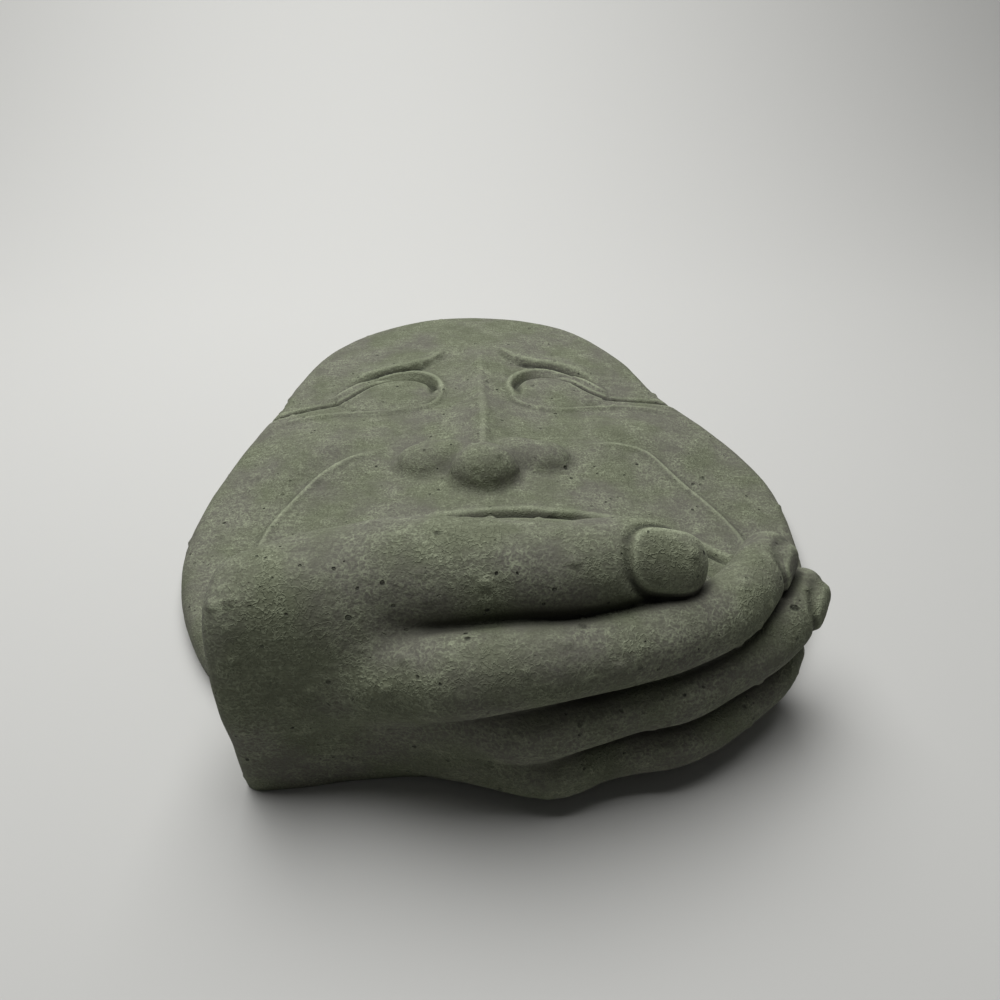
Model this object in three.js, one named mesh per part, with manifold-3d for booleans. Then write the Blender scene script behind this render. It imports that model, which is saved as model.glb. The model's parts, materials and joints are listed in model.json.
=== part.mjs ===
// Face wall plaque: a stylised face cast in one piece with the hand that holds its chin.
// Millimetres. +X is the viewer's right, +Z runs up the wall to the forehead, and -Y points out of
// the wall. The flat back lies in the plane y = 0, with the origin in the middle of it.
// A place on the plaque is given as across, up the wall, and out from the wall.
import * as THREE from 'three';
import { mergeVertices } from 'three/addons/utils/BufferGeometryUtils.js';
import Module from 'manifold-3d';

// Slab: an even edge with a rounded rim, and a gentle dome
const EDGE_OUT = 12.5;
const RIM_ROUND = 4;
const DOME_RISE = 7;
const DOME_REACH = { across: 126, up: 158 };
const BACK_ALLOWANCE = 3;

// Outline as across, up: forehead arc, a notch at each temple, wide cheeks, chin behind the hand
const OUTLINE = [
  [8, 159], [54, 143], [83, 99], [92, 66], [96, 53], [102, 43], [119, 10], [128, -20], [127, -52],
  [117, -92], [92, -122], [50, -140], [0, -145], [-50, -140], [-86, -120], [-108, -92], [-119, -58],
  [-118, -22], [-108, 22], [-103, 40], [-99, 51], [-95, 76], [-82, 114], [-58, 142], [-24, 158],
];

// Eyes as across, up: the line under the upper lid runs on to the slab's edge, and so does the rim
const EYES = [
  {
    lidLine: [[-23, 58], [-24, 70], [-38, 74], [-53, 67], [-67, 52], [-84, 46], [-104, 38]],
    rim: [
      [-97, 31], [-78, 37], [-60, 39], [-38, 40], [-23, 46],
      [-19, 62], [-26, 78], [-40, 80], [-56, 73], [-70, 58], [-86, 51],
    ],
    brow: [[-18, 112], [-22, 94], [-32, 87], [-46, 84], [-60, 76], [-76, 56]],
  },
  {
    lidLine: [[21, 56], [23, 70], [36, 74], [48, 66], [60, 52], [76, 48], [100, 46]],
    rim: [
      [96, 35], [78, 39], [60, 39], [38, 37], [22, 45],
      [19, 62], [24, 77], [37, 80], [52, 71], [64, 56], [80, 53],
    ],
    brow: [[17, 112], [20, 94], [29, 88], [44, 85], [57, 76], [70, 56]],
  },
];
const LID_LINE_RADIUS = 1.9;
const RIM_RADIUS = 2.3;
const BROW_RADIUS = 3.4;
const EYEBALLS = [
  { place: [-46, 56, 12], half: [25, 13, 8] },
  { place: [43, 56, 12], half: [24, 13, 8] },
];

// Nose: a thin bridge, a ball and two wings
const BRIDGE = [[3, 100, 16, 3.5], [2, 64, 17, 5], [2, 30, 18.5, 7], [1, 4, 20, 10], [0.5, -12, 21, 11]];
const NOSE_BALL = { place: [0.5, -20, 20], half: [15, 13, 14] };
const NOSE_WINGS = [
  { place: [-26, -7.5, 17.5], half: [12.5, 12, 9] },
  { place: [27, -7.5, 17.5], half: [13, 12, 9] },
];

// Cheeks, the folds that frame them, and the long drooping line of the mouth
const CHEEK = { across: 74, up: 8, half: [44, 38], rise: 3.5 };
const FOLDS = [
  [[-40, 4], [-58, -5], [-70, -16], [-80, -32], [-87, -50], [-89, -71], [-84, -96]],
  [[42, 2], [60, 0], [73, -6], [82, -20], [91, -36], [99, -54], [103, -72]],
];
const FOLD_RADIUS = 2.6;
const MOUTH = [[-84, -78], [-62, -62], [-36, -53], [-10, -49], [14, -48], [46, -52], [74, -61], [95, -76]];
const MOUTH_RADIUS = 2.2;

// Hand: the wrist and palm as cross-sections, each across, up, out, half up, half out
const PALM = [
  [-77, -134, 26, 18, 47],
  [-60, -131, 26, 20.5, 48],
  [-42, -127, 27, 22.5, 46],
  [-22, -129.5, 26, 22.5, 42],
  [-6, -134, 24.5, 22, 40],
  [8, -140, 25, 18.5, 37],
];
const PALM_SQUARENESS = 2.6;
const WRIST_ROUND = 5;
const KNUCKLE_ROUND = 9;

// Thumb and fingers from root to tip, each station across, up, out, radius
const THUMB = [
  [-50, -123, 54, 20], [-28, -124, 60, 18.5], [-6, -126.5, 64, 15.8], [14, -128, 66, 13.9],
  [28, -126.5, 66, 13.6], [38, -125.5, 66, 12.6], [47, -127, 66, 10.4],
];
const FINGERS = [
  [
    [-12, -142, 51, 14], [20, -148, 52.5, 10.2], [34, -145, 52.5, 10.5], [49, -140.5, 52.5, 10.6],
    [65, -133, 52.5, 9.8], [76, -122.5, 52, 9], [85.5, -110, 51, 8.4],
  ],
  [
    [-10, -144, 32, 14], [22, -150.5, 32, 10.2], [36, -147, 33, 10.2], [50, -144.5, 34, 10.6],
    [66, -137, 35, 10.5], [80, -130.5, 37, 10], [91, -122.5, 39, 8.8], [97, -115, 40, 7.8],
  ],
  [
    [-12, -141, 14, 12.5], [13, -151.5, 13, 11.4], [28, -149.8, 13.5, 10.3], [39, -148, 14, 10.2],
    [50, -147, 15, 10.4], [62, -142.5, 16, 10.4], [74, -136, 17.5, 9.7], [86, -128.5, 19, 9],
    [92.5, -121, 20, 8.2],
  ],
];
const NAILS = [
  { place: [44, -130, 69], half: [13, 11, 9] },
  { place: [89, -113, 53], half: [6, 10, 7.5] },
  { place: [98, -117, 39.5], half: [5.5, 8, 6.5] },
];

// Chin: the part of the face that rests in the palm, under the thumb
const CHIN = { place: [4, -104, 8], half: [84, 40, 44] };

const STONE_COLOUR = 0x646b5a;

const wasm = await Module();
wasm.setup();

function toWorld(across, up, out) {
  return new THREE.Vector3(across, -out, up);
}

// Six times the volume inside a closed mesh, negative where its faces point inwards
function signedVolume(points, triangles) {
  const [a, b, c] = [new THREE.Vector3(), new THREE.Vector3(), new THREE.Vector3()];
  let total = 0;
  for (let i = 0; i < triangles.length; i += 3) {
    a.fromArray(points, 3 * triangles[i]);
    b.fromArray(points, 3 * triangles[i + 1]);
    c.fromArray(points, 3 * triangles[i + 2]);
    total += a.dot(b.cross(c));
  }
  return total;
}

// A closed mesh, as a solid that can be joined and cut
function solid(geometry) {
  geometry.deleteAttribute('normal');
  geometry.deleteAttribute('uv');
  const merged = mergeVertices(geometry, 1e-5);
  const vertProperties = merged.attributes.position.array;
  const triVerts = new Uint32Array(merged.index.array);
  if (signedVolume(vertProperties, triVerts) < 0) {
    triVerts.reverse();
  }
  return new wasm.Manifold(new wasm.Mesh({ numProp: 3, vertProperties, triVerts }));
}

// Rings of points skinned into a closed body, with a single point at each end
function skin(first, rings, last) {
  const sides = rings[0].length;
  const points = [first, ...rings.flat(), last];
  const triangles = [];
  const at = (ring, side) => 1 + ring * sides + (side % sides);
  for (let side = 0; side < sides; side++) {
    triangles.push(0, at(0, side + 1), at(0, side));
    triangles.push(points.length - 1, at(rings.length - 1, side), at(rings.length - 1, side + 1));
    for (let ring = 0; ring < rings.length - 1; ring++) {
      triangles.push(at(ring, side), at(ring, side + 1), at(ring + 1, side));
      triangles.push(at(ring, side + 1), at(ring + 1, side + 1), at(ring + 1, side));
    }
  }
  const geometry = new THREE.BufferGeometry().setFromPoints(points);
  geometry.setIndex(triangles);
  return solid(geometry);
}

// A smooth curve through one number of every station
function valueCurve(stations, field) {
  const curve = new THREE.SplineCurve(stations.map((station, i) => new THREE.Vector2(i, station[field])));
  return (t) => curve.getPoint(t).y;
}

// A round limb along a smooth curve through its stations, with round ends
function limb(stations, { sides = 12, stepsPerSpan = 2, capRings = 3 } = {}) {
  const curve = new THREE.CatmullRomCurve3(stations.map(([across, up, out]) => toWorld(across, up, out)));
  const radiusAt = valueCurve(stations, 3);
  const outward = new THREE.Vector3(0, -1, 0);
  const centreAt = (t, beyond) => curve.getPoint(t)
    .addScaledVector(curve.getTangent(t), beyond * radiusAt(t));
  const ringAt = (t, beyond, share) => {
    const centre = centreAt(t, beyond);
    const tangent = curve.getTangent(t);
    const sideways = new THREE.Vector3().crossVectors(tangent, outward).normalize();
    const normal = new THREE.Vector3().crossVectors(sideways, tangent);
    return Array.from({ length: sides }, (_, side) => {
      const angle = 2 * Math.PI * side / sides;
      return centre.clone()
        .addScaledVector(normal, share * radiusAt(t) * Math.cos(angle))
        .addScaledVector(sideways, share * radiusAt(t) * Math.sin(angle));
    });
  };
  const cap = (t, direction) => Array.from({ length: capRings - 1 }, (_, i) => {
    const angle = Math.PI / 2 * (i + 1) / capRings;
    return ringAt(t, direction * Math.sin(angle), Math.cos(angle));
  });
  const steps = (stations.length - 1) * stepsPerSpan;
  const body = Array.from({ length: steps + 1 }, (_, i) => ringAt(i / steps, 0, 1));
  return skin(centreAt(0, -1), [...cap(0, -1).reverse(), ...body, ...cap(1, 1)], centreAt(1, 1));
}

// A rib, or the cutter of a groove, that follows the face through points given as across, up
function bead(points, radius, sink, sides = 6) {
  const curve = new THREE.SplineCurve(points.map(([across, up]) => new THREE.Vector2(across, up)));
  const steps = 2 * (points.length - 1);
  const stations = Array.from({ length: steps + 1 }, (_, i) => {
    const point = curve.getPoint(i / steps);
    return [point.x, point.y, faceOut(point.x, point.y) - sink, radius];
  });
  return limb(stations, { sides, stepsPerSpan: 1, capRings: 2 });
}

function ellipsoid({ place, half }, around = 16, along = 10) {
  const geometry = new THREE.SphereGeometry(1, around, along);
  const centre = toWorld(...place);
  geometry.scale(half[0], half[2], half[1]);
  geometry.translate(centre.x, centre.y, centre.z);
  return solid(geometry);
}

// How far out the face stands at a place, before its ribs, nose and eyes
function faceOut(across, up) {
  const reach = Math.hypot(across / DOME_REACH.across, up / DOME_REACH.up);
  const dome = EDGE_OUT + DOME_RISE * (1 - reach * reach);
  const fromCheek = Math.hypot(
    (Math.abs(across) - CHEEK.across) / CHEEK.half[0], (up - CHEEK.up) / CHEEK.half[1]);
  return dome + CHEEK.rise * (1 - THREE.MathUtils.smoothstep(fromCheek, 0, 1));
}

// The slab: rings that shrink from the outline to the middle, lifted to the face
function slab(sectors = 68, faceRings = 16) {
  const outline = new THREE.CatmullRomCurve3(
    OUTLINE.map(([across, up]) => toWorld(across, up, 0)), true, 'centripetal')
    .getSpacedPoints(sectors).slice(0, sectors);
  const ringAt = (share, outAt) => outline.map(
    (point) => toWorld(point.x * share, point.z * share, outAt(point.x * share, point.z * share)));
  const inset = RIM_ROUND / DOME_REACH.across;
  const rings = [
    ringAt(1, () => -BACK_ALLOWANCE),
    ringAt(1, (across, up) => faceOut(across, up) - RIM_ROUND),
    ringAt(1 - 0.3 * inset, (across, up) => faceOut(across, up) - 0.3 * RIM_ROUND),
  ];
  for (let ring = 0; ring < faceRings; ring++) {
    rings.push(ringAt((1 - inset) * (1 - ring / faceRings), faceOut));
  }
  return skin(toWorld(0, 0, -BACK_ALLOWANCE), rings, toWorld(0, 0, faceOut(0, 0)));
}

// Wrist and palm: rounded sections between the cut wrist and the knuckles
function palm(sides = 24, steps = 10) {
  const [acrossAt, upAt, outAt, halfUpAt, halfOutAt] = [0, 1, 2, 3, 4]
    .map((field) => valueCurve(PALM, field));
  const squared = (value) => Math.sign(value) * Math.abs(value) ** (2 / PALM_SQUARENESS);
  const sectionAt = (t, shift, inset) => Array.from({ length: sides }, (_, side) => {
    const angle = 2 * Math.PI * side / sides;
    return toWorld(
      acrossAt(t) + shift,
      upAt(t) + (halfUpAt(t) - inset) * squared(Math.cos(angle)),
      outAt(t) + (halfOutAt(t) - inset) * squared(Math.sin(angle)));
  });
  const rings = [
    sectionAt(0, 0, WRIST_ROUND),
    sectionAt(0, 0.3 * WRIST_ROUND, 0.3 * WRIST_ROUND),
    sectionAt(0, WRIST_ROUND, 0),
  ];
  for (let step = 1; step <= steps; step++) {
    rings.push(sectionAt(step / steps, 0, 0));
  }
  rings.push(sectionAt(1, 0.7 * KNUCKLE_ROUND, 0.3 * KNUCKLE_ROUND));
  rings.push(sectionAt(1, KNUCKLE_ROUND, KNUCKLE_ROUND));
  return skin(toWorld(acrossAt(0), upAt(0), outAt(0)), rings,
    toWorld(acrossAt(1) + KNUCKLE_ROUND, upAt(1), outAt(1)));
}

function addEyes(face) {
  let carved = face;
  EYES.forEach(({ lidLine, rim, brow }, i) => {
    carved = carved.add(bead(rim, RIM_RADIUS, 0.6, 5))
      .add(bead(brow, BROW_RADIUS, 2))
      .add(ellipsoid(EYEBALLS[i], 12, 6))
      .subtract(bead(lidLine, LID_LINE_RADIUS, -0.4, 5));
  });
  return carved;
}

function addNose(face) {
  return [NOSE_BALL, ...NOSE_WINGS].reduce(
    (carved, lump) => carved.add(ellipsoid(lump, 14, 8)), face.add(limb(BRIDGE, { sides: 10 })));
}

function addFoldsAndMouth(face) {
  return FOLDS.reduce((carved, fold) => carved.add(bead(fold, FOLD_RADIUS, 1.2)), face)
    .subtract(bead(MOUTH, MOUTH_RADIUS, -0.4));
}

function addHand(face) {
  const pieces = [palm(), ellipsoid(CHIN, 16, 8), limb(THUMB), ...FINGERS.map((finger) => limb(finger)),
    ...NAILS.map((nail) => ellipsoid(nail, 10, 6))];
  return pieces.reduce((carved, piece) => carved.add(piece), face);
}

// Everything behind the wall plane, to be cut away
function behindWall() {
  const size = 600;
  const box = new THREE.BoxGeometry(size, size, size);
  box.translate(0, size / 2, 0);
  return solid(box);
}

function toMesh(name, body, material) {
  const { vertProperties, triVerts } = body.getMesh();
  const geometry = new THREE.BufferGeometry();
  geometry.setAttribute('position', new THREE.BufferAttribute(vertProperties, 3));
  geometry.setIndex(new THREE.BufferAttribute(triVerts, 1));
  geometry.computeVertexNormals();
  const mesh = new THREE.Mesh(geometry, material);
  mesh.name = name;
  return mesh;
}

const castStone = new THREE.MeshStandardMaterial({ color: STONE_COLOUR, roughness: 0.92, metalness: 0 });
const facePlaque = addHand(addFoldsAndMouth(addNose(addEyes(slab())))).subtract(behindWall());
const plaque = new THREE.Group();
plaque.add(toMesh('face_plaque', facePlaque, castStone));

export default plaque;
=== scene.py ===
import json
import math

import bpy
import numpy as np
from mathutils import Matrix, Vector

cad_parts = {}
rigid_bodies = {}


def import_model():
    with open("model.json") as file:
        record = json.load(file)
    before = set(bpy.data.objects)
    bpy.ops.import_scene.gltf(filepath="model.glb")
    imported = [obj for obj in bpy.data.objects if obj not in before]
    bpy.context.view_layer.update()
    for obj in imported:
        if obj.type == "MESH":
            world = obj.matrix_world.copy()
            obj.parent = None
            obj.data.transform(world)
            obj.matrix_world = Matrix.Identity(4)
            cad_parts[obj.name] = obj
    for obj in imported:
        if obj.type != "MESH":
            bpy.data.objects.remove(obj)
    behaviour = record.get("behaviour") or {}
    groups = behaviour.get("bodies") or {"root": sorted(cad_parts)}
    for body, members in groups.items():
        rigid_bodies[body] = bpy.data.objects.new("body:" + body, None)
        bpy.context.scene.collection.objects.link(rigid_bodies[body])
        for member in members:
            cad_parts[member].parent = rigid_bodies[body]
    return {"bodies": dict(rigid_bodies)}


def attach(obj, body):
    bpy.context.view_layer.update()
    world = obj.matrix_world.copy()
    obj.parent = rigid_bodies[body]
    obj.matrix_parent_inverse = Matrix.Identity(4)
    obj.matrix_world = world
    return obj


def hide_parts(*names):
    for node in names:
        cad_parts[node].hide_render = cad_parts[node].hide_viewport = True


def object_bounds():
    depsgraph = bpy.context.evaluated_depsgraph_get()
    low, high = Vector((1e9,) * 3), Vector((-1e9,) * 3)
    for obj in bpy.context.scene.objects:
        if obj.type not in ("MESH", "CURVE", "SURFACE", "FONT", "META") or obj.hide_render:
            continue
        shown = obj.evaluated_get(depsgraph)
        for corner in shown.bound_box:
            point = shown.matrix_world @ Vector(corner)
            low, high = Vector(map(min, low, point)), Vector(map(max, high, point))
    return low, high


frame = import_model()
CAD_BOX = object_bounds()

bl_info = {
    "name": "Face wall plaque",
    "version": (1, 0, 0),
    "blender": (4, 5, 0),
    "location": "3D View > Sidebar > Plaque",
    "description": "Casts the face wall plaque around its packed frame and sets its stage",
    "category": "Object",
}

MM = 0.001
NODE = "face_plaque"
BODY = next(iter(frame["bodies"]))

# Places are given as across, up the wall and out from it, in millimetres.
# Slab: its outline runs from the forehead round by the viewer's right
OUTLINE = (
    (8, 159), (54, 143), (83, 99), (92, 66), (96, 53), (102, 43), (119, 10), (128, -20), (127, -52),
    (117, -92), (92, -122), (50, -140), (0, -145), (-50, -140), (-86, -120), (-108, -92), (-119, -58),
    (-118, -22), (-108, 22), (-103, 40), (-99, 51), (-95, 76), (-82, 114), (-58, 142), (-24, 158),
)
EDGE_OUT = 12.5
RIM_BLEND = 7.0
DOME_RISE = 7.0
DOME_REACH = (126.0, 158.0)

# Eyes: the line under the upper lid, the rim round the eye, the brow and the crease below it
EYES = (
    dict(
        outer=-1,
        lid=((-23, 56), (-23, 68), (-30, 74), (-38, 74), (-53, 67), (-67, 53), (-84, 46), (-104, 39)),
        rim=((-106, 29), (-97, 32), (-78, 37), (-60, 39), (-38, 40), (-22, 46), (-17.5, 60), (-21, 74),
             (-29, 80), (-40, 80.5), (-56, 73), (-70, 58), (-86, 51)),
        brow=((-17, 112), (-18, 101), (-24, 93), (-34, 89), (-48, 84), (-62, 75), (-76, 58)),
        crease=((-22, 87), (-32, 85), (-46, 81), (-60, 71), (-70, 60)),
        ball=(-45, 57, 26, 17),
        dot=(-38, 65),
    ),
    dict(
        outer=1,
        lid=((22, 54), (21.5, 67), (27, 73.5), (36, 74), (48, 66.5), (60, 53), (76, 47.5), (103, 45)),
        rim=((106, 33), (96, 35), (78, 38), (60, 39), (38, 37.5), (21, 45), (17, 59), (20, 73),
             (28, 79.5), (38, 80), (52, 71.5), (64, 57), (80, 53)),
        brow=((16, 114), (16.5, 102), (22, 94), (32, 89), (44, 86), (57, 77), (70, 57)),
        crease=((20, 88), (30, 86), (43, 82), (56, 71), (67, 58)),
        ball=(42, 56, 25, 17),
        dot=(30, 64),
    ),
)

# Nose: the crest of the bridge, then a ball and wings, each as place, half sizes and fillet
BRIDGE = ((3, 118), (3, 92), (2, 60), (2, 30), (1, 4), (0.5, -14))
NOSE = (
    ((0.5, -19, 20), (15, 13.5, 14.5), 3.0),
    ((-25, -7, 17), (13.5, 11.5, 9.5), 3.0),
    ((-15, -4, 18), (12, 10, 9), 4.0),
    ((26.5, -7, 17), (13.5, 11, 9.5), 3.0),
    ((15, -4, 18), (12, 10, 9), 4.0),
)
FOLDS = (
    (-1, ((-38, 6), (-48, 1), (-58, -5), (-70, -16), (-80, -32), (-87, -50), (-89, -71), (-84, -96))),
    (1, ((40, 3), (50, 2), (60, 0), (73, -6), (82, -20), (91, -36), (99, -54), (103, -72))),
)
MOUTH = ((-84, -78), (-62, -62), (-36, -53), (-10, -49), (14, -48), (46, -52), (74, -61), (98, -78))
CHIN = ((4, -104, 8), (84, 40, 44))

# Hand: the palm as sections (across, up, out, half up, half out), then limbs (across, up, out, radius)
WRIST = -78
PALM = (
    (-78, -134, 26, 18, 47), (-60, -131, 26, 20.5, 48), (-46, -129, 27, 22, 44), (-30, -132, 25, 20.5, 33),
    (-14, -136, 23, 19.5, 27), (4, -139, 22, 18.5, 26), (20, -142, 22, 14, 24),
)
PALM_SQUARENESS = 2.6
THUMB = (
    (-74, -130, 40, 20), (-60, -126.5, 50, 21), (-45, -124.5, 55, 20), (-28, -124, 60, 18.6),
    (-6, -126.2, 63.5, 16.2), (6, -127.9, 65.5, 14.4), (17, -128.2, 66, 13.6), (28, -126.8, 66, 13.6),
    (38, -125.6, 66, 12.6), (47, -127.2, 66, 10.6),
)
FINGERS = (
    (
        (-46, -138, 42, 15), (-28, -144.5, 46, 13.2), (-14, -149.5, 50, 12.2), (4, -149.5, 52.3, 11.5),
        (20, -148, 52.5, 10.3), (34, -145, 52.5, 10.3), (49, -140.3, 52.5, 10.6), (65, -133, 52.5, 9.9),
        (76, -122.5, 52, 9.1), (85.5, -110, 51, 8.6),
    ),
    (
        (-12, -141, 31, 14), (6, -151, 31, 11.8), (22, -150.5, 32, 9.9), (36, -147, 33, 9.9),
        (50, -144.5, 34, 10.5), (66, -137, 35, 10.4), (80, -130.5, 37, 10), (91, -122.5, 39, 9),
        (97.5, -115, 40, 8),
    ),
    (
        (-12, -141, 14, 13), (13, -152, 13, 11.6), (28, -149.8, 13.5, 10), (39, -148, 14, 9.9),
        (50, -147, 15, 10.2), (62, -142.5, 16, 10.3), (74, -136, 17.5, 9.7), (86, -128.5, 19, 9),
        (92.5, -121, 20, 8.2),
    ),
)
THUMB_NAIL = dict(
    place=(47, -128, 66), along=(1, -0.15, 0), facing=(0.2, -0.6, 0.8), length=12, width=9.5, plate=0.9)
FINGER_NAILS = (
    dict(place=(83, -113, 51.5), along=(0.55, 0.83, -0.08), facing=(1, -0.55, 0.25), length=8, width=6.5,
         plate=0.7),
    dict(place=(95, -118, 39.5), along=(0.6, 0.8, 0.1), facing=(1, -0.5, 0.3), length=8, width=6, plate=0.7),
    None,
)

# How far round a form its distance is worked out before it is taken as far away
FAR = 12.0

# Sizes of the stone's patterns, in millimetres
WANDER_SIZE, WANDER_REACH = 5.0, 2.4
PATCH_SIZE = 24.0
CLOUD_SIZE = 11.0
WORM_SIZE = 2.6
GRAIN_SIZE = 0.8
STROKE_SIZE = 1.3
SMALL_PIT = dict(spacing=3.0, rare=0.55, widest=0.8)
LARGE_PIT = dict(spacing=7.5, rare=0.6, widest=1.6)

# The table and its backdrop, in metres: how far behind the plaque's back, to each side, before the chin,
# where the sweep starts beyond the forehead, and how high the backdrop stands
TABLE_GAP = 0.0002
TABLE_SIDE = 3.0
TABLE_FRONT = -2.0
SWEEP_START = 0.20
BACKDROP_TOP = -2.5
SWEEP_STEPS = 24

# The photograph's camera, in the plaque's frame
CAMERA_PLACE = (-10.77, -210.0, -279.25)
CAMERA_PITCH = math.radians(38.0)
CAMERA_YAW = math.radians(4.0)
CAMERA_ROLL = math.radians(0.7)
CAMERA_LENS = 27.036


def spline(points, steps=8, closed=False, place=3):
    """A smooth curve through the points, as a fine polyline. The first columns give the place."""
    p = np.array(points, float)
    p = np.vstack([p[-1:], p, p[:2]] if closed else [2 * p[:1] - p[1:2], p, 2 * p[-1:] - p[-2:-1]])
    gap = np.linalg.norm(np.diff(p[:, :place], axis=0), axis=1)[:, None] ** 0.5
    before, start, end, after = p[:-3], p[1:-2], p[2:-1], p[3:]
    g0, g1, g2 = gap[:-2], gap[1:-1], gap[2:]
    leave = g1 * ((start - before) / g0 - (end - before) / (g0 + g1)) + end - start
    reach = g1 * ((after - end) / g2 - (after - start) / (g1 + g2)) + end - start
    t = (np.arange(steps) / steps)[None, :, None]
    curve = ((2 * t**3 - 3 * t**2 + 1) * start[:, None] + (t**3 - 2 * t**2 + t) * leave[:, None]
             + (3 * t**2 - 2 * t**3) * end[:, None] + (t**3 - t**2) * reach[:, None])
    curve = curve.reshape(-1, p.shape[1])
    return np.vstack([curve, curve[:1] if closed else end[-1:]])


def ease(low, high, value):
    t = np.clip((value - low) / (high - low), 0, 1)
    return t * t * (3 - 2 * t)


def hump(value, width):
    return np.exp(-((value / width) ** 2))


def taper(share, start, end):
    """One along the middle of a path, falling to nothing over these shares at its ends."""
    return ease(0, start, share) * ease(0, end, 1 - share)


def oval(x, z, middle, half):
    return np.hypot((x - middle[0]) / half[0], (z - middle[1]) / half[1])


def join(a, b, fillet):
    """The nearer of two solids, with a fillet where they meet."""
    near = np.maximum(fillet - np.abs(a - b), 0)
    return np.minimum(a, b) - near * near / (4 * fillet)


def share_of(a, b, rounding):
    """What two solids share, with a rounded edge."""
    return -join(-a, -b, rounding)


def near_path(x, z, path):
    """Distance to a path, positive on its left, and the share of the way along it."""
    best = np.full(x.shape, 1e12)
    side = np.zeros(x.shape)
    along = np.zeros(x.shape)
    step = np.diff(path, axis=0)
    length = np.hypot(step[:, 0], step[:, 1])
    run = np.concatenate([[0], np.cumsum(length)])
    for (px, pz), (dx, dz), size, start in zip(path, step, length, run):
        t = np.clip(((x - px) * dx + (z - pz) * dz) / size**2, 0, 1)
        ex = x - px - t * dx
        ez = z - pz - t * dz
        apart = ex * ex + ez * ez
        nearer = apart < best
        best = np.where(nearer, apart, best)
        side = np.where(nearer, dx * ez - dz * ex, side)
        along = np.where(nearer, (start + t * size) / run[-1], along)
    return np.copysign(np.sqrt(best), side), along


def follow(x, z, points, profile, reach):
    """The height that a profile, given distance and share along, adds beside a path."""
    path = spline(points, place=2)
    low, high = path.min(0) - reach, path.max(0) + reach
    close = (x > low[0]) & (x < high[0]) & (z > low[1]) & (z < high[1])
    height = np.zeros(x.shape)
    if close.any():
        height[close] = profile(*near_path(x[close], z[close], path))
    return height


def brow_profile(outer):
    """Soft towards the forehead, steep towards the eye."""
    def profile(distance, share):
        up = distance * outer
        return 3.0 * hump(up, np.where(up > 0, 7.0, 2.6)) * taper(share, 0.22, 0.35)
    return profile


def lid_profile(distance, share):
    """A groove, widest and deepest at the inner corner of the eye."""
    inner = hump(share - 0.16, 0.15)
    return -(2.2 + 1.2 * inner) * hump(distance, 1.3 + 1.5 * inner) * ease(-0.06, 0.07, share)


def crease_profile(distance, share):
    return -1.7 * hump(distance, 1.7) * taper(share, 0.15, 0.5)


def rim_profile(distance, share):
    return 1.5 * hump(distance, 1.7) * taper(share, 0.12, 0.12)


def eye_height(x, z, eye):
    middle, half = eye["ball"][:2], eye["ball"][2:]
    socket = (middle[0] - 6 * eye["outer"], middle[1] + 4), (half[0] * 1.45, half[1] * 1.7)
    height = -1.6 * (1 - ease(0.5, 1.5, oval(x, z, *socket)))
    height += follow(x, z, eye["brow"], brow_profile(eye["outer"]), 18)
    height += follow(x, z, eye["crease"], crease_profile, 6)
    height += follow(x, z, eye["rim"], rim_profile, 6)
    height += 2.6 * np.sqrt(np.clip(1 - oval(x, z, middle, half) ** 2, 0, 1))
    height += follow(x, z, eye["lid"], lid_profile, 8)
    return height + 0.7 * hump(np.hypot(x - eye["dot"][0], z - eye["dot"][1]), 2.6)


def bridge_profile(distance, share):
    """A broad slope with a narrow crest, both growing towards the tip of the nose."""
    broad = (1.0 + 5.0 * share) * hump(distance, 7 + 7 * share)
    return (broad + (0.6 + 1.2 * share) * hump(distance, 3.0)) * ease(0, 0.25, share)


def fold_profile(outer):
    """A thin ridge with a shallow valley on its outer side and a swell on its inner side."""
    def profile(distance, share):
        away = distance * outer
        ridge = 1.5 * hump(away, 1.7) - 1.3 * hump(away - 5.5, 4.0) + 0.8 * hump(away + 5, 5.0)
        return ridge * taper(share, 0.2, 0.15)
    return profile


def mouth_profile(distance, share):
    """A groove between a thin upper lip and a fuller lower one."""
    lips = 1.0 * hump(distance - 3.6, 2.0) + 1.2 * hump(distance + 6, 5)
    return (lips - 2.6 * hump(distance, 1.7)) * taper(share, 0.12, 0.1)


def face_height(x, z):
    """How far the face stands out from the wall."""
    height = EDGE_OUT + DOME_RISE * (1 - oval(x, z, (0, 0), DOME_REACH) ** 2)
    height += 3.8 * (1 - ease(0, 1, oval(np.abs(x), z, (74, 6), (44, 38))))
    height += 2.4 * (1 - ease(0.2, 1, oval(x, z, (4, -58), (84, 50))))
    height += 1.5 * (1 - ease(0.2, 1, oval(x, z, (0, 128), (60, 40))))
    height += follow(x, z, BRIDGE, bridge_profile, 40)
    for eye in EYES:
        height += eye_height(x, z, eye)
    for outer, fold in FOLDS:
        height += follow(x, z, fold, fold_profile(outer), 16)
    return height + follow(x, z, MOUTH, mouth_profile, 16)


def outline_distance(x, z):
    """Distance from the slab's outline, negative inside it."""
    return near_path(x, z, spline(OUTLINE, closed=True, place=2))[0]


def ellipsoid(x, z, h, place, half):
    u = (x - place[0]) / half[0], (z - place[1]) / half[1], (h - place[2]) / half[2]
    size = np.sqrt(u[0] ** 2 + u[1] ** 2 + u[2] ** 2)
    slope = np.sqrt((u[0] / half[0]) ** 2 + (u[1] / half[1]) ** 2 + (u[2] / half[2]) ** 2)
    return size * (size - 1) / np.maximum(slope, 1e-9)


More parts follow.
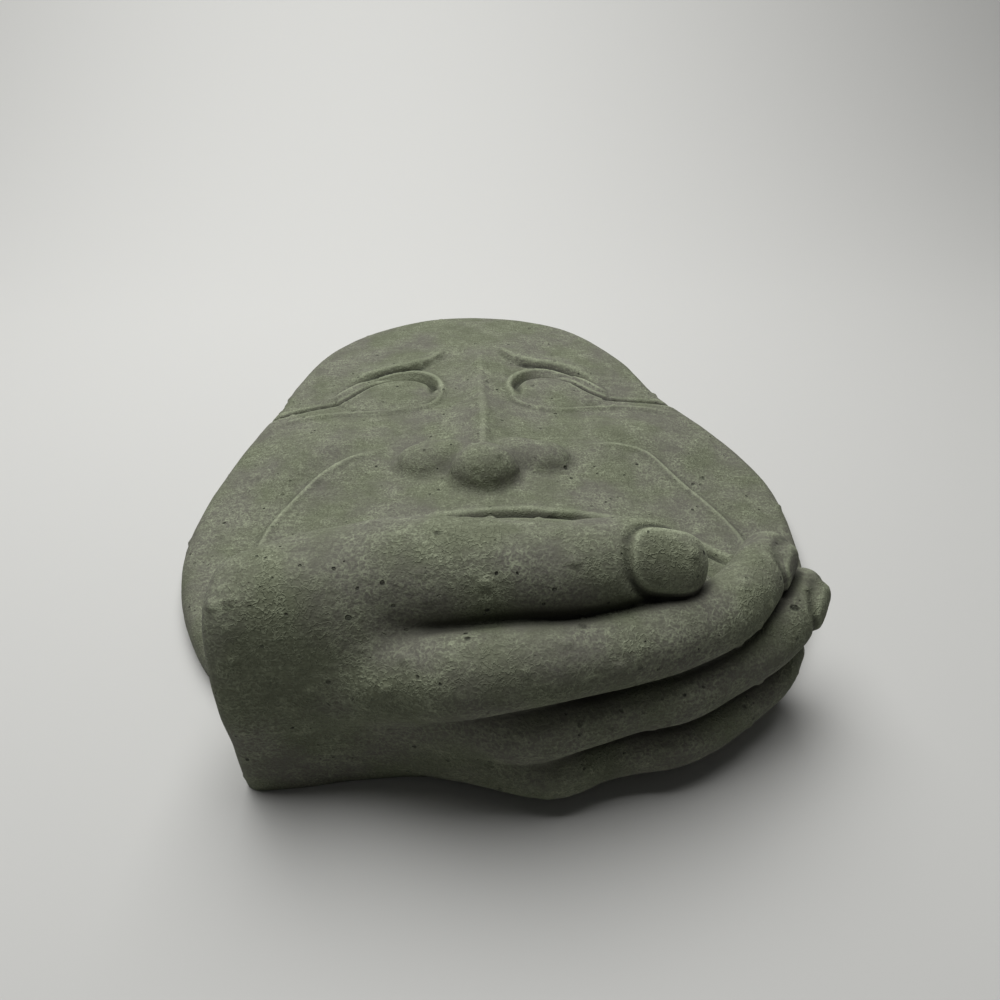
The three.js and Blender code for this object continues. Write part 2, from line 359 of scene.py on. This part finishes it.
def limb(x, z, h, stations):
    """A round limb along a smooth curve, its radius changing from station to station."""
    line = spline(stations, 5)
    best = np.full(x.shape, 1e9)
    for a, b in zip(line, line[1:]):
        along = b[:3] - a[:3]
        t = ((x - a[0]) * along[0] + (z - a[1]) * along[1] + (h - a[2]) * along[2]) / (along @ along)
        t = np.clip(t, 0, 1)
        apart = np.sqrt((x - a[0] - t * along[0]) ** 2 + (z - a[1] - t * along[1]) ** 2
                        + (h - a[2] - t * along[2]) ** 2)
        best = np.minimum(best, apart - a[3] - t * (b[3] - a[3]))
    return best


def near_limb(x, z, h, stations):
    s = np.array(stations, float)
    low = (s[:, :3] - s[:, 3:]).min(0) - FAR
    high = (s[:, :3] + s[:, 3:]).max(0) + FAR
    return ((x > low[0]) & (x < high[0]) & (z > low[1]) & (z < high[1]) & (h > low[2]) & (h < high[2]))


def palm(x, z, h):
    line = spline(PALM, 6, place=1)
    up, out, half_up, half_out = (np.interp(x, line[:, 0], line[:, i]) for i in (1, 2, 3, 4))
    n = PALM_SQUARENESS
    share = ((np.abs(z - up) / half_up) ** n + (np.abs(h - out) / half_out) ** n) ** (1 / n)
    body = np.hypot(z - up, h - out) * (1 - 1 / np.maximum(share, 1e-3))
    return share_of(body, x - PALM[-1][0], 14)


def nail(x, z, h, body, place, along, facing, length, width, plate):
    """A finger's solid with its nail raised in a narrow moat."""
    a = np.array(along, float) / np.linalg.norm(along)
    n = np.array(facing, float)
    n -= (n @ a) * a
    n /= np.linalg.norm(n)
    q = x - place[0], z - place[1], h - place[2]
    lengthwise, sideways, outward = (sum(c * w for c, w in zip(q, v)) for v in (a, np.cross(a, n), n))
    share = (np.abs(lengthwise / length) ** 3 + np.abs(sideways / width) ** 3) ** (1 / 3)
    edge = (1 - share) * min(length, width)
    return body + ease(-1, 1.5, outward) * (plate * hump(edge + 0.5, 1.1) - plate * ease(-0.2, 1.0, edge))


def hand(x, z, h):
    fingers = np.full(x.shape, FAR)
    for stations, plate in zip(FINGERS, FINGER_NAILS):
        m = near_limb(x, z, h, stations)
        finger = limb(x[m], z[m], h[m], stations)
        if plate:
            finger = nail(x[m], z[m], h[m], finger, **plate)
        fingers[m] = join(fingers[m], finger, 1.2)
    thumb = np.full(x.shape, FAR)
    m = near_limb(x, z, h, THUMB)
    thumb[m] = nail(x[m], z[m], h[m], limb(x[m], z[m], h[m], THUMB), **THUMB_NAIL)
    whole = join(palm(x, z, h), fingers, 6)
    whole = join(whole, thumb, 1.5 + 9 * (1 - ease(-44, -16, x)))
    return share_of(whole, WRIST - x, 7)


def plaque(x, z, h, height, edge):
    """The whole casting as a distance, negative inside it."""
    whole = share_of(h - height, edge, RIM_BLEND)
    for place, half, fillet in NOSE:
        m = ((np.abs(x - place[0]) < half[0] + FAR) & (np.abs(z - place[1]) < half[1] + FAR)
             & (h < place[2] + half[2] + FAR))
        whole[m] = join(whole[m], ellipsoid(x[m], z[m], h[m], place, half), fillet)
    m = z < -50
    if m.any():
        chin = join(whole[m], ellipsoid(x[m], z[m], h[m], *CHIN), 10)
        whole[m] = join(chin, hand(x[m], z[m], h[m]), 4)
    return whole


def plaque_at(p):
    x, z, h = p[:, 0], p[:, 1], p[:, 2]
    return plaque(x, z, h, face_height(x, z), outline_distance(x, z))


def slope_at(points, value):
    """The field's slope at each point, where its value is known."""
    step = 0.05
    slope = np.empty_like(points)
    for k in range(3):
        shift = np.zeros(3)
        shift[k] = step
        slope[:, k] = (plaque_at(points + shift) - value) / step
    return slope


def stops(*pairs):
    """Places along an axis, from pairs of a start and the step from there on."""
    runs = [np.linspace(a, b, max(1, round((b - a) / step)), endpoint=False)
            for (a, step), (b, _) in zip(pairs, pairs[1:])]
    return np.concatenate([*runs, [pairs[-1][0]]])


def sample_plaque(xs, zs, hs):
    across, up = np.meshgrid(xs, zs, indexing="ij")
    shape = len(xs), len(zs), len(hs)
    return plaque(
        np.broadcast_to(xs[:, None, None], shape),
        np.broadcast_to(zs[None, :, None], shape),
        np.broadcast_to(hs[None, None, :], shape),
        np.broadcast_to(face_height(across, up)[..., None], shape),
        np.broadcast_to(outline_distance(across, up)[..., None], shape),
    )


def net(field, axes):
    """A skin of quads: a point in each cell that the surface crosses, a quad for each crossed edge."""
    inside = field < 0
    cells = np.array(field.shape) - 1
    place = np.zeros((*cells, 3))
    count = np.zeros(cells, int)
    crossings = []
    for k in range(3):
        first = tuple(slice(0, -1) if j == k else slice(None) for j in range(3))
        second = tuple(slice(1, None) if j == k else slice(None) for j in range(3))
        at = np.argwhere(inside[first] != inside[second])
        a, b = field[first][tuple(at.T)], field[second][tuple(at.T)]
        point = np.stack([axes[j][at[:, j]] for j in range(3)], 1)
        point[:, k] += a / (a - b) * (axes[k][at[:, k] + 1] - axes[k][at[:, k]])
        u, v = (j for j in range(3) if j != k)
        corners = []
        for du, dv in ((0, 0), (1, 0), (1, 1), (0, 1)):
            cell = at.copy()
            cell[:, u] -= du
            cell[:, v] -= dv
            np.add.at(place, tuple(cell.T), point)
            np.add.at(count, tuple(cell.T), 1)
            corners.append(cell)
        turned = (a < 0) == (k != 1)
        crossings.append((corners, turned))
    used = count > 0
    number = np.full(count.shape, -1)
    number[used] = np.arange(used.sum())
    quads = []
    for corners, turned in crossings:
        quad = np.stack([number[tuple(cell.T)] for cell in corners], 1)
        quad[turned] = quad[turned][:, ::-1]
        quads.append(quad)
    return place[used] / count[used][:, None], np.vstack(quads), np.argwhere(used)


def back_loop(quads, on_back):
    """The rim of the flat back, in order, so that one face can close it."""
    following = {}
    for quad in quads:
        for a, b in zip(quad, np.roll(quad, -1)):
            if on_back[a] and on_back[b]:
                following[int(b)] = int(a)
    start = next(iter(following))
    loop = [start]
    while following[loop[-1]] != start:
        loop.append(following[loop[-1]])
    return loop


def settle(points, on_back):
    """Moves the points onto the true surface. Those of the back stay in its plane."""
    for _ in range(2):
        value = plaque_at(points)
        slope = slope_at(points, value)
        slope[on_back, 2] = 0
        steep = np.maximum((slope**2).sum(1), 0.05)
        move = -(value / steep)[:, None] * slope
        size = np.linalg.norm(move, axis=1)[:, None]
        points = points + move * np.minimum(1, 0.6 / np.maximum(size, 1e-9))
    return points, slope / np.maximum(np.linalg.norm(slope, axis=1)[:, None], 1e-6)


def cast_mesh(name, hand_step, face_step):
    """The casting's mesh: fine over the hand, coarser over the face, and one face for the flat back."""
    low, high = (np.array(c) / MM for c in CAD_BOX)
    xs = stops((low[0] - 3, 1.1 * hand_step), (high[0] + 3, 0))
    zs = stops((low[2] - 3, hand_step), (-96, face_step), (high[2] + 3, 0))
    hs = stops((-hand_step, hand_step), (0, hand_step), (-low[1] + 3, 0))
    field = sample_plaque(xs, zs, hs)
    field[:, :, 0] = 1
    points, quads, cells = net(field, (xs, zs, hs))
    on_back = cells[:, 2] == 0
    quads = quads[~on_back[quads].all(1)]
    loop = back_loop(quads, on_back)
    kept, numbers = np.unique(quads, return_inverse=True)
    quads = numbers.reshape(quads.shape)
    loop = np.searchsorted(kept, loop)
    points, on_back = points[kept], on_back[kept]
    points[on_back, 2] = 0
    points, outward = settle(points, on_back)
    mesh = bpy.data.meshes.new(name)
    world = np.stack([points[:, 0], -points[:, 2], points[:, 1]], 1) * MM
    mesh.from_pydata(world.tolist(), [], [*quads.tolist(), loop.tolist()])
    mesh.validate()
    mesh.polygons.foreach_set("use_smooth", np.ones(len(mesh.polygons), bool))
    sharp = on_back[np.array([e.vertices[:] for e in mesh.edges])].all(1)
    mesh.edges.foreach_set("use_edge_sharp", sharp)
    store(mesh, "exposure", openness(points, outward))
    store(mesh, "curve", curvature(points))
    return mesh


def openness(points, outward):
    """How freely light and a rubbing cloth reach the surface: one on open ground, nought in a cleft."""
    near, far = 2.5, 8.0
    return np.clip(0.5 * plaque_at(points + near * outward) / near
                   + 0.5 * plaque_at(points + far * outward) / far, 0, 1)


def curvature(points):
    """Above nought on crests and below it in hollows, per millimetre."""
    step = 2.0
    total = -6 * plaque_at(points)
    for k in range(3):
        shift = np.zeros(3)
        shift[k] = step
        total += plaque_at(points + shift) + plaque_at(points - shift)
    return total / step**2


def store(mesh, name, values):
    attribute = mesh.attributes.new(name, "FLOAT", "POINT")
    attribute.data.foreach_set("value", values.astype(np.float32))


def linear(hex_colour):
    """An sRGB hex colour as linear light."""
    channels = [int(hex_colour[i:i + 2], 16) / 255 for i in (1, 3, 5)]
    return tuple(c / 12.92 if c <= 0.04045 else ((c + 0.055) / 1.055) ** 2.4 for c in channels)


def add(tree, kind, inputs=(), **settings):
    """A node with its settings; inputs are (socket, value or other node's output)."""
    node = tree.nodes.new(kind)
    for key, value in settings.items():
        setattr(node, key, value)
    for socket, value in inputs:
        if isinstance(value, bpy.types.NodeSocket):
            tree.links.new(value, node.inputs[socket])
        else:
            node.inputs[socket].default_value = value
    return node


def per(size):
    """The texture scale that gives features of this many millimetres."""
    return 1 / (size * MM)


def pinholes(tree, place, spacing, rare, widest):
    """Round holes at random places: one inside a hole, nought outside. A share of the cells has none."""
    cell = add(tree, "ShaderNodeTexVoronoi", [("Vector", place), ("Scale", per(spacing))]).outputs
    chance = add(tree, "ShaderNodeSeparateColor", [(0, cell["Color"])]).outputs[0]
    radius = add(tree, "ShaderNodeMapRange", [(0, chance), (1, rare), (2, 1.0), (4, widest / spacing)])
    inside = add(tree, "ShaderNodeMath", [(0, cell["Distance"]), (1, radius.outputs[0])],
                 operation="SUBTRACT")
    return add(tree, "ShaderNodeMapRange", [(0, inside.outputs[0]), (1, 0.0), (2, -0.08)]).outputs[0]


def cast_stone(stone):
    """Cast stone, moulded and dry-rubbed: a matt grey-green body that drinks light, pale worm-like crests
    where a cloth has left patina, and pinholes that read as black specks through painted shade, which also
    darkens the hollows and the clefts."""
    material = bpy.data.materials.new("cast stone, rubbed patina")
    material.use_nodes = True
    tree = material.node_tree
    tree.nodes.clear()
    place = add(tree, "ShaderNodeTexCoord").outputs["Object"]
    exposure = add(tree, "ShaderNodeAttribute", attribute_name="exposure").outputs["Fac"]
    curve = add(tree, "ShaderNodeAttribute", attribute_name="curve").outputs["Fac"]

    # a slow wander bends the finer patterns
    wander = add(tree, "ShaderNodeTexNoise", [("Vector", place), ("Scale", per(WANDER_SIZE)), ("Detail", 2)])
    bent = add(tree, "ShaderNodeVectorMath",
               [(0, wander.outputs["Color"]), (1, (WANDER_REACH * MM,) * 3), (2, place)],
               operation="MULTIPLY_ADD").outputs[0]
    patch = add(tree, "ShaderNodeTexNoise", [("Vector", place), ("Scale", per(PATCH_SIZE)), ("Detail", 4)])
    rough = add(tree, "ShaderNodeMapRange", [(0, patch.outputs[0]), (1, 0.40), (2, 0.60)]).outputs[0]
    cloud = add(tree, "ShaderNodeTexNoise", [("Vector", place), ("Scale", per(CLOUD_SIZE)), ("Detail", 5),
                                             ("Roughness", 0.65)]).outputs[0]

    # worm-like crests: thin lines where a noise crosses its middle value
    worm = add(tree, "ShaderNodeTexNoise", [("Vector", bent), ("Scale", per(WORM_SIZE)), ("Detail", 2.5),
                                            ("Roughness", 0.6)])
    worm = add(tree, "ShaderNodeMath", [(0, worm.outputs[0]), (1, 0.5)], operation="SUBTRACT")
    worm = add(tree, "ShaderNodeMath", [(0, worm.outputs[0])], operation="ABSOLUTE")
    worm = add(tree, "ShaderNodeMapRange", [(0, worm.outputs[0]), (1, 0.055), (2, 0.0)]).outputs[0]
    grain = add(tree, "ShaderNodeTexNoise", [("Vector", place), ("Scale", per(GRAIN_SIZE)), ("Detail", 3)])
    grain = grain.outputs[0]

    # strokes of the cloth, ten times as long as they are wide
    long_way = add(tree, "ShaderNodeMapping", [("Vector", bent), ("Scale", (0.1, 1, 1))]).outputs[0]
    stroke = add(tree, "ShaderNodeTexNoise", [("Vector", long_way), ("Scale", per(STROKE_SIZE)),
                                              ("Detail", 2)])

    # pinholes come in clusters
    small, large = pinholes(tree, bent, **SMALL_PIT), pinholes(tree, bent, **LARGE_PIT)
    pits = add(tree, "ShaderNodeMath", [(0, small), (1, large)], operation="MAXIMUM")
    cluster = add(tree, "ShaderNodeMapRange", [(0, cloud), (1, 0.44), (2, 0.60)])
    pits = add(tree, "ShaderNodeMath", [(0, pits.outputs[0]), (1, cluster.outputs[0])],
               operation="MULTIPLY").outputs[0]

    # the patina: worms, grain and strokes, thinned in clouds, more on crests and none in clefts
    fine = add(tree, "ShaderNodeMapRange", [(0, grain), (1, 0.42), (2, 0.72), (4, 0.6)])
    wiped = add(tree, "ShaderNodeMapRange", [(0, stroke.outputs[0]), (1, 0.5), (2, 0.7)])
    thinned = add(tree, "ShaderNodeMapRange", [(0, cloud), (1, 0.32), (2, 0.68), (3, 0.15)])
    edged = add(tree, "ShaderNodeMapRange", [(0, curve), (1, 0.12), (2, 0.7), (4, 0.55)])
    reached = add(tree, "ShaderNodeMapRange", [(0, exposure), (1, 0.35), (2, 0.95)])
    crest = fine.outputs[0]
    for layer, share in ((worm, 0.55), (wiped.outputs[0], 0.3)):
        crest = add(tree, "ShaderNodeMath", [(0, layer), (1, share), (2, crest)],
                    operation="MULTIPLY_ADD").outputs[0]
    crest = add(tree, "ShaderNodeMath", [(0, crest), (1, thinned.outputs[0]), (2, edged.outputs[0])],
                operation="MULTIPLY_ADD").outputs[0]
    for factor in (reached.outputs[0], stone.patina_amount):
        crest = add(tree, "ShaderNodeMath", [(0, crest), (1, factor)], operation="MULTIPLY").outputs[0]

    # painted shade: darkens the pinholes, the hollows and the clefts, whichever is darkest
    painted_shade = add(tree, "ShaderNodeMath", [(0, pits), (1, 0.9)], operation="MULTIPLY").outputs[0]
    for value, shade_start, shade_full, most in ((curve, -0.08, -0.8, 0.7), (exposure, 0.7, 0.2, 0.5)):
        shade_amount = add(tree, "ShaderNodeMapRange", [(0, value), (1, shade_start), (2, shade_full), (4, most)])
        painted_shade = add(tree, "ShaderNodeMath", [(0, painted_shade), (1, shade_amount.outputs[0])],
                   operation="MAXIMUM").outputs[0]

    # colours in layers: smooth, body, rubbed patina, then the dark pit colour as painted shade in the
    # pinholes, hollows and clefts
    colour = (*stone.smooth_colour, 1)
    for share, layer in ((rough, stone.body_colour), (crest, stone.patina_colour), (painted_shade, stone.painted_shade_colour)):
        colour = add(tree, "ShaderNodeMix", [(0, share), (6, colour), (7, (*layer, 1))],
                     data_type="RGBA").outputs[2]

    # heights in millimetres
    height = add(tree, "ShaderNodeMath", [(0, worm), (1, rough)], operation="MULTIPLY").outputs[0]
    height = add(tree, "ShaderNodeMath", [(0, height), (1, 0.22)], operation="MULTIPLY").outputs[0]
    for layer, rise in ((grain, 0.22), (cloud, 0.9), (pits, -0.8)):
        height = add(tree, "ShaderNodeMath", [(0, layer), (1, rise), (2, height)],
                     operation="MULTIPLY_ADD").outputs[0]
    bump = add(tree, "ShaderNodeBump", [("Strength", 1.0), ("Distance", MM), ("Height", height)])
    shader = add(tree, "ShaderNodeBsdfPrincipled", [("Base Color", colour), ("Roughness", 0.88),
                                                   ("Specular IOR Level", 0.3), ("Normal", bump.outputs[0])])
    add(tree, "ShaderNodeOutputMaterial", [("Surface", shader.outputs[0])])
    return material


def pitting_tree():
    """Geometry Nodes that work the cast skin: slow swells and pinholes, none on the back."""
    tree = bpy.data.node_groups.new("cast skin", "GeometryNodeTree")
    face = tree.interface
    face.new_socket("Geometry", in_out="INPUT", socket_type="NodeSocketGeometry")
    for name, kind in (("Swell Height", "Float"), ("Swell Size", "Float"), ("Pit Depth", "Float"),
                       ("Pit Spacing", "Float"), ("Seed", "Float"), ("Material", "Material")):
        face.new_socket(name, in_out="INPUT", socket_type="NodeSocket" + kind)
    face.new_socket("Geometry", in_out="OUTPUT", socket_type="NodeSocketGeometry")
    given = add(tree, "NodeGroupInput").outputs
    place = add(tree, "GeometryNodeInputPosition").outputs[0]
    normal = add(tree, "GeometryNodeInputNormal").outputs[0]
    per_swell = add(tree, "ShaderNodeMath", [(0, 1.0), (1, given["Swell Size"])], operation="DIVIDE")
    swell = add(tree, "ShaderNodeTexNoise", [("Vector", place), ("W", given["Seed"]),
                                             ("Scale", per_swell.outputs[0]), ("Detail", 3.0)],
                noise_dimensions="4D")
    swell = add(tree, "ShaderNodeMath", [(0, swell.outputs[0]), (1, 0.5)], operation="SUBTRACT")
    swell = add(tree, "ShaderNodeMath", [(0, swell.outputs[0]), (1, given["Swell Height"])],
                operation="MULTIPLY")
    per_pit = add(tree, "ShaderNodeMath", [(0, 1.0), (1, given["Pit Spacing"])], operation="DIVIDE")
    cell = add(tree, "ShaderNodeTexVoronoi", [("Vector", place), ("W", given["Seed"]),
                                              ("Scale", per_pit.outputs[0])], voronoi_dimensions="4D")
    pit = add(tree, "ShaderNodeMapRange", [(0, cell.outputs["Distance"]), (1, 0.14), (2, 0.3), (3, 1.0),
                                           (4, 0.0)])
    pit = add(tree, "ShaderNodeMath", [(0, pit.outputs[0]), (1, given["Pit Depth"])], operation="MULTIPLY")
    rise = add(tree, "ShaderNodeMath", [(0, swell.outputs[0]), (1, pit.outputs[0])], operation="SUBTRACT")
    depth = add(tree, "ShaderNodeSeparateXYZ", [(0, place)]).outputs[1]
    off_back = add(tree, "ShaderNodeMapRange", [(0, depth), (1, -0.3 * MM), (2, -3 * MM), (3, 0.0), (4, 1.0)])
    rise = add(tree, "ShaderNodeMath", [(0, rise.outputs[0]), (1, off_back.outputs[0])], operation="MULTIPLY")
    offset = add(tree, "ShaderNodeVectorMath", [(0, normal), ("Scale", rise.outputs[0])], operation="SCALE")
    moved = add(tree, "GeometryNodeSetPosition", [("Geometry", given["Geometry"]),
                                                  ("Offset", offset.outputs[0])])
    real = add(tree, "GeometryNodeRealizeInstances", [(0, moved.outputs[0])])
    painted = add(tree, "GeometryNodeSetMaterial", [("Geometry", real.outputs[0]),
                                                    ("Material", given["Material"])])
    add(tree, "NodeGroupOutput", [(0, painted.outputs[0])])
    return tree


def set_input(modifier, name, value):
    socket = next(s for s in modifier.node_group.interface.items_tree
                  if s.item_type == "SOCKET" and s.in_out == "INPUT" and s.name == name)
    modifier[socket.identifier] = value


def apply_tree(piece, tree, values):
    """Runs the tree on the piece and keeps what it makes as a plain mesh."""
    modifier = piece.modifiers.new(tree.name, "NODES")
    modifier.node_group = tree
    for name, value in values:
        set_input(modifier, name, value)
    evaluated = piece.evaluated_get(bpy.context.evaluated_depsgraph_get())
    made = bpy.data.meshes.new_from_object(evaluated)
    piece.modifiers.remove(modifier)
    old = piece.data
    piece.data = made
    made.name = piece.name
    bpy.data.meshes.remove(old)


class PlaqueStone(bpy.types.PropertyGroup):
    """Sizes and colours of the casting"""
    hand_step: bpy.props.FloatProperty(
        name="Hand step", description="Spacing of the mesh over the hand", default=1.0 * MM, min=0.5 * MM,
        unit="LENGTH")
    face_step: bpy.props.FloatProperty(
        name="Face step", description="Spacing of the mesh over the face", default=1.7 * MM, min=0.5 * MM,
        unit="LENGTH")
    swell_height: bpy.props.FloatProperty(
        name="Swell height", description="How far the cast surface wanders", default=0.9 * MM, unit="LENGTH")
    swell_size: bpy.props.FloatProperty(
        name="Swell size", description="How wide its slow swells are", default=22 * MM, unit="LENGTH")
    pit_depth: bpy.props.FloatProperty(
        name="Pit depth", description="Depth of the largest pinholes", default=0.7 * MM, unit="LENGTH")
    pit_spacing: bpy.props.FloatProperty(
        name="Pit spacing", description="Typical distance between pinholes", default=7 * MM, unit="LENGTH")
    seed: bpy.props.FloatProperty(
        name="Seed", description="Picks one of the possible patterns of pits", default=3.0)
    body_colour: bpy.props.FloatVectorProperty(
        name="Body", description="Colour of the stone", subtype="COLOR", default=linear("#5f6350"))
    smooth_colour: bpy.props.FloatVectorProperty(
        name="Smooth", description="Colour of the smoother patches", subtype="COLOR",
        default=linear("#5e5d54"))
    patina_colour: bpy.props.FloatVectorProperty(
        name="Patina", description="Colour of the rubbed crests", subtype="COLOR", default=linear("#9ba288"))
    patina_amount: bpy.props.FloatProperty(
        name="Patina amount", description="How much the crests are rubbed", default=0.8, min=0, max=1,
        subtype="FACTOR")
    # the dark colour laid as painted shade in the pinholes, hollows and clefts
    painted_shade_colour: bpy.props.FloatVectorProperty(
        name="Pits", description="Colour of the pinholes and clefts", subtype="COLOR",
        default=linear("#23251e"))


class PlaqueStage(bpy.types.PropertyGroup):
    """The table, the light and the air round the plaque"""
    table_colour: bpy.props.FloatVectorProperty(
        name="Table", description="Colour of the pale surface", subtype="COLOR", default=linear("#c4c4c1"))
    box_power: bpy.props.FloatProperty(
        name="Soft box", description="Power of the soft box over the plaque", default=11.0, unit="POWER")
    back_power: bpy.props.FloatProperty(
        name="Back light", description="Power of the light on the plaque's back", default=6.0, unit="POWER")
    sweep: bpy.props.FloatProperty(
        name="Sweep", description="Radius of the curve from table to backdrop", default=0.6, unit="LENGTH")
    air: bpy.props.FloatProperty(
        name="Air", description="Strength of the even light from all round", default=0.05, min=0)


class PLAQUE_OT_cast_plaque(bpy.types.Operator):
    """Casts the face and the hand as one piece of stone"""
    bl_idname = "plaque.cast_plaque"
    bl_label = "Cast the plaque"

    def execute(self, context):
        stone = context.scene.plaque_stone
        mesh = cast_mesh("cast_plaque", stone.hand_step / MM, stone.face_step / MM)
        piece = bpy.data.objects.new("cast_plaque", mesh)
        context.scene.collection.objects.link(piece)
        material = cast_stone(stone)
        apply_tree(piece, pitting_tree(), (
            ("Swell Height", stone.swell_height),
            ("Swell Size", stone.swell_size),
            ("Pit Depth", stone.pit_depth),
            ("Pit Spacing", stone.pit_spacing),
            ("Seed", stone.seed),
            ("Material", material),
        ))
        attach(piece, BODY)
        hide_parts(NODE)
        return {"FINISHED"}


def pale_table(colour):
    """Matt painted board: an even pale surface with a soft shadow. From behind it is clear, so that the
    plaque's back can be seen."""
    material = bpy.data.materials.new("matt painted board")
    material.use_nodes = True
    tree = material.node_tree
    tree.nodes.clear()
    board = add(tree, "ShaderNodeBsdfPrincipled", [("Base Color", (*colour, 1)), ("Roughness", 0.8)])
    clear = add(tree, "ShaderNodeBsdfTransparent")
    behind = add(tree, "ShaderNodeNewGeometry").outputs["Backfacing"]
    mix = add(tree, "ShaderNodeMixShader", [(0, behind), (1, board.outputs[0]), (2, clear.outputs[0])])
    add(tree, "ShaderNodeOutputMaterial", [("Surface", mix.outputs[0])])
    return material


def add_table(stage):
    """A flat board that curves up into a backdrop beyond the forehead."""
    turns = [math.pi / 2 * i / SWEEP_STEPS for i in range(SWEEP_STEPS + 1)]
    sweep = [(TABLE_GAP - stage.sweep * (1 - math.cos(t)), SWEEP_START + stage.sweep * math.sin(t))
             for t in turns]
    profile = [(TABLE_GAP, TABLE_FRONT), *sweep, (BACKDROP_TOP, SWEEP_START + stage.sweep)]
    points = [(x, y, z) for y, z in profile for x in (-TABLE_SIDE, TABLE_SIDE)]
    faces = [(i, i + 1, i + 3, i + 2) for i in range(0, len(points) - 2, 2)]
    mesh = bpy.data.meshes.new("table")
    mesh.from_pydata(points, [], faces)
    mesh.polygons.foreach_set("use_smooth", np.ones(len(faces), bool))
    mesh.materials.append(pale_table(stage.table_colour))
    table = bpy.data.objects.new("table", mesh)
    bpy.context.scene.collection.objects.link(table)


def add_light(name, place, target, size, power):
    light = bpy.data.lights.new(name, "AREA")
    light.size = size
    light.energy = power
    lamp = bpy.data.objects.new(name, light)
    place, target = Vector(place) * MM, Vector(target) * MM
    turn = (target - place).to_track_quat("-Z", "Y").to_matrix().to_4x4()
    lamp.matrix_world = Matrix.Translation(place) @ turn
    bpy.context.scene.collection.objects.link(lamp)
    return lamp


def add_camera():
    yaw, pitch, roll = CAMERA_YAW, CAMERA_PITCH, CAMERA_ROLL
    ahead = Vector((math.cos(pitch) * math.sin(yaw), math.sin(pitch), math.cos(pitch) * math.cos(yaw)))
    level_right = Vector((math.cos(yaw), 0, -math.sin(yaw)))
    level_up = Vector((math.sin(pitch) * math.sin(yaw), -math.cos(pitch), math.sin(pitch) * math.cos(yaw)))
    right = math.cos(roll) * level_right + math.sin(roll) * level_up
    up = math.cos(roll) * level_up - math.sin(roll) * level_right
    data = bpy.data.cameras.new("camera")
    data.lens = CAMERA_LENS
    data.sensor_width = 36
    data.clip_start = 0.01
    camera = bpy.data.objects.new("camera", data)
    turn = Matrix((right, up, -ahead)).transposed().to_4x4()
    camera.matrix_world = Matrix.Translation(Vector(CAMERA_PLACE) * MM) @ turn
    bpy.context.scene.collection.objects.link(camera)
    bpy.context.scene.camera = camera


class PLAQUE_OT_set_stage(bpy.types.Operator):
    """Lays out the pale table, the lights and the camera"""
    bl_idname = "plaque.set_stage"
    bl_label = "Set the stage"

    def execute(self, context):
        stage = context.scene.plaque_stage
        add_table(stage)
        add_light("soft box", (-120, -850, 200), (0, 0, 0), 0.8, stage.box_power)
        add_light("back light", (0, 500, 900), (0, 0, 0), 0.6, stage.back_power)
        world = bpy.data.worlds.new("air")
        world.use_nodes = True
        background = world.node_tree.nodes["Background"]
        background.inputs["Color"].default_value = (1, 1, 1, 1)
        background.inputs["Strength"].default_value = stage.air
        context.scene.world = world
        context.scene.view_settings.view_transform = "Standard"
        add_camera()
        return {"FINISHED"}


class PLAQUE_PT_panel(bpy.types.Panel):
    """Lists the plaque's sizes, colours and steps"""
    bl_label = "Face wall plaque"
    bl_idname = "PLAQUE_PT_panel"
    bl_space_type = "VIEW_3D"
    bl_region_type = "UI"
    bl_category = "Plaque"

    def draw(self, context):
        for group, operator in ((context.scene.plaque_stone, "plaque.cast_plaque"),
                                (context.scene.plaque_stage, "plaque.set_stage")):
            box = self.layout.box()
            for name in group.__annotations__:
                box.prop(group, name)
            box.operator(operator)


CLASSES = (PlaqueStone, PlaqueStage, PLAQUE_OT_cast_plaque, PLAQUE_OT_set_stage, PLAQUE_PT_panel)


def register():
    for cls in CLASSES:
        bpy.utils.register_class(cls)
    bpy.types.Scene.plaque_stone = bpy.props.PointerProperty(type=PlaqueStone)
    bpy.types.Scene.plaque_stage = bpy.props.PointerProperty(type=PlaqueStage)


def unregister():
    del bpy.types.Scene.plaque_stage
    del bpy.types.Scene.plaque_stone
    for cls in reversed(CLASSES):
        bpy.utils.unregister_class(cls)


def main():
    register()
    bpy.ops.plaque.cast_plaque()
    bpy.ops.plaque.set_stage()


if __name__ == "__main__":
    main()
